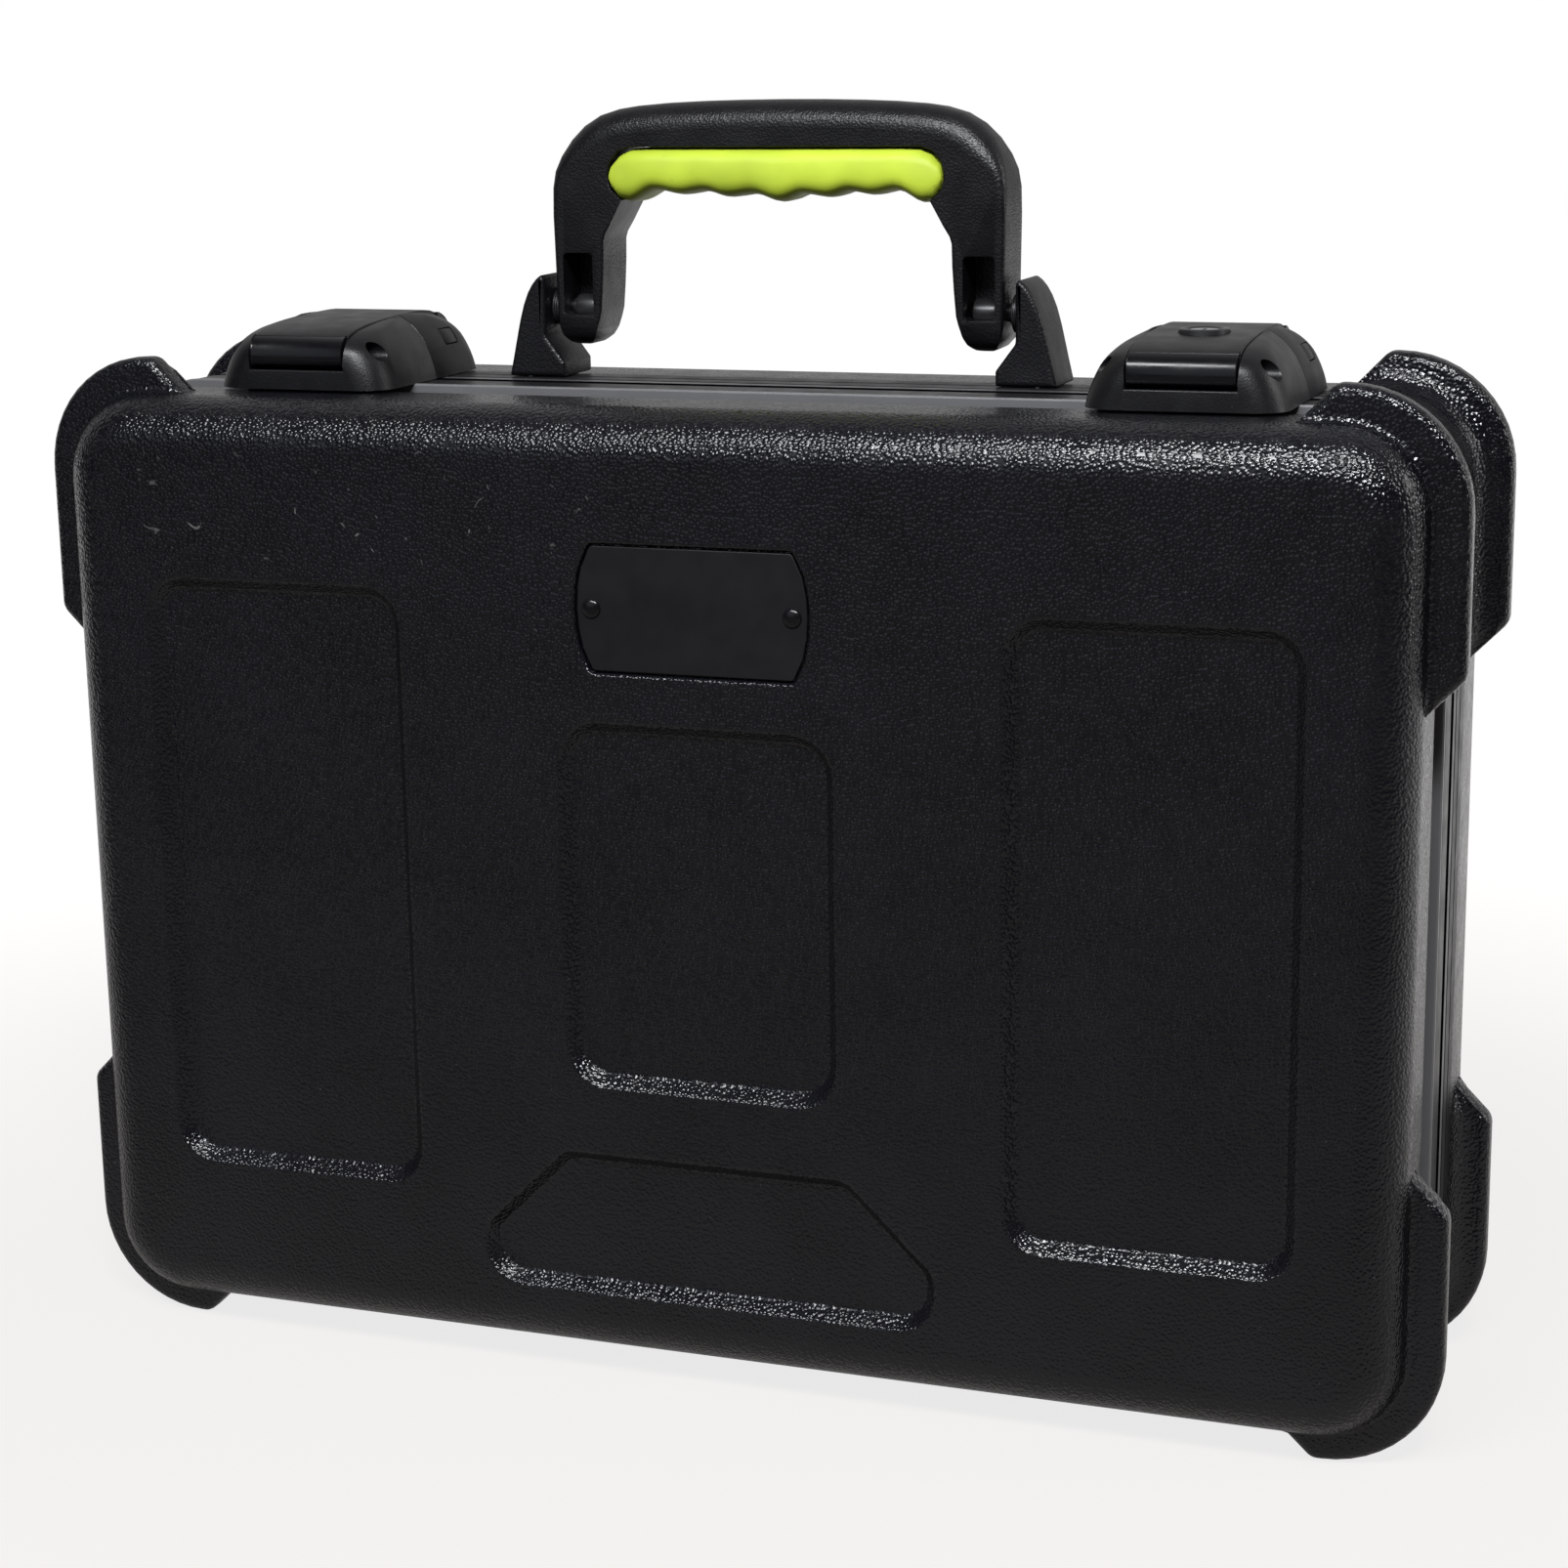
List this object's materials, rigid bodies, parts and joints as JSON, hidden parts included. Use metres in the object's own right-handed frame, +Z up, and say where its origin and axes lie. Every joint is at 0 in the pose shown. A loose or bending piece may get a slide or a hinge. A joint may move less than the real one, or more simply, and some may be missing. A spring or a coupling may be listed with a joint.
{
  "type": "microphone case",
  "caption": "Hard black carrying case standing on its corner bumpers, with a hinged lid, lever latches and a swinging handle.",
  "frame": {"origin": "on the ground under the middle of the standing case, the handle's middle being 25 mm behind it", "axes": "+Z up, X along the width, the lid faces -Y and the base faces +Y; lid and base meet at y = 0"},
  "size_m": [0.48, 0.138, 0.4236],
  "materials": {
    "shell_plastic": "grained, semi-gloss",
    "band_metal": "black anodised, fine ribs",
    "latch_plastic": "satin",
    "handle_plastic": "fine texture",
    "gloss_black": "polished",
    "grip_rubber": "soft lime green",
    "foam": "open-cell foam",
    "steel": "plated"
  },
  "bodies": {
    "base": {"base_shell": "shell_plastic", "base_band": "band_metal", "base_foam_floor": "foam", "base_foam_insert": "foam", "left_handle_bracket": "handle_plastic", "right_handle_bracket": "handle_plastic", "left_handle_pin": "steel", "right_handle_pin": "steel", "bracket_screw_1": "steel", "bracket_screw_2": "steel", "bracket_screw_3": "steel", "bracket_screw_4": "steel", "left_latch_housing": "latch_plastic", "right_latch_housing": "latch_plastic", "base_latch_screw_1": "steel", "base_latch_screw_2": "steel", "base_latch_screw_3": "steel", "base_latch_screw_4": "steel", "left_hinge_base_leaf": "band_metal", "right_hinge_base_leaf": "band_metal", "left_hinge_pin": "steel", "right_hinge_pin": "steel", "base_hinge_rivet_1": "steel", "base_hinge_rivet_2": "steel", "base_hinge_rivet_3": "steel", "base_hinge_rivet_4": "steel"},
    "lid": {"lid_shell": "shell_plastic", "lid_band": "band_metal", "lid_foam": "foam", "name_plate": "handle_plastic", "left_plate_rivet": "gloss_black", "right_plate_rivet": "gloss_black", "left_latch_front": "latch_plastic", "right_latch_front": "latch_plastic", "left_lever_pin": "steel", "right_lever_pin": "steel", "lid_latch_screw_1": "steel", "lid_latch_screw_2": "steel", "lid_latch_screw_3": "steel", "lid_latch_screw_4": "steel", "left_hinge_lid_leaf": "band_metal", "right_hinge_lid_leaf": "band_metal", "lid_hinge_rivet_1": "steel", "lid_hinge_rivet_2": "steel", "lid_hinge_rivet_3": "steel", "lid_hinge_rivet_4": "steel"},
    "handle": {"handle_frame": "handle_plastic", "handle_grip": "grip_rubber"},
    "left_lever": {"left_latch_lever": "latch_plastic", "left_lever_bar": "gloss_black"},
    "right_lever": {"right_latch_lever": "latch_plastic", "right_lever_bar": "gloss_black", "lock_barrel": "band_metal"},
    "left_button": {"left_release_button": "latch_plastic", "left_release_spring": "steel"},
    "right_button": {"right_release_button": "latch_plastic", "right_release_spring": "steel"},
    "lock": {"lock_plug": "steel"}
  },
  "joints": [
    {"name": "lid_hinge", "type": "hinge", "parent": "base", "child": "lid", "pos_m": [0, 0, 0.0059], "axis": [1, 0, 0], "range_deg": [0, 100]},
    {"name": "handle_swing", "type": "hinge", "parent": "base", "child": "handle", "pos_m": [0, 0.025, 0.3545], "axis": [1, 0, 0], "range_deg": [-90, 90]},
    {"name": "left_latch_lift", "type": "hinge", "parent": "lid", "child": "left_lever", "pos_m": [-0.1501, -0.033, 0.3439], "axis": [1, 0, 0], "range_deg": [0, 75]},
    {"name": "right_latch_lift", "type": "hinge", "parent": "lid", "child": "right_lever", "pos_m": [0.1501, -0.033, 0.3439], "axis": [1, 0, 0], "range_deg": [0, 75]},
    {"name": "left_release", "type": "slide", "parent": "base", "child": "left_button", "axis": [-1, 0, 0], "range_m": [0, 0.0015], "stiffness_N_per_m": 400, "springref_m": -0.002},
    {"name": "right_release", "type": "slide", "parent": "base", "child": "right_button", "axis": [-1, 0, 0], "range_m": [0, 0.0015], "stiffness_N_per_m": 400, "springref_m": -0.002},
    {"name": "lock_turn", "type": "hinge", "parent": "right_lever", "child": "lock", "pos_m": [0.1501, -0.008, 0.35], "axis": [0, 0, 1], "range_deg": [0, 90]}
  ]
}
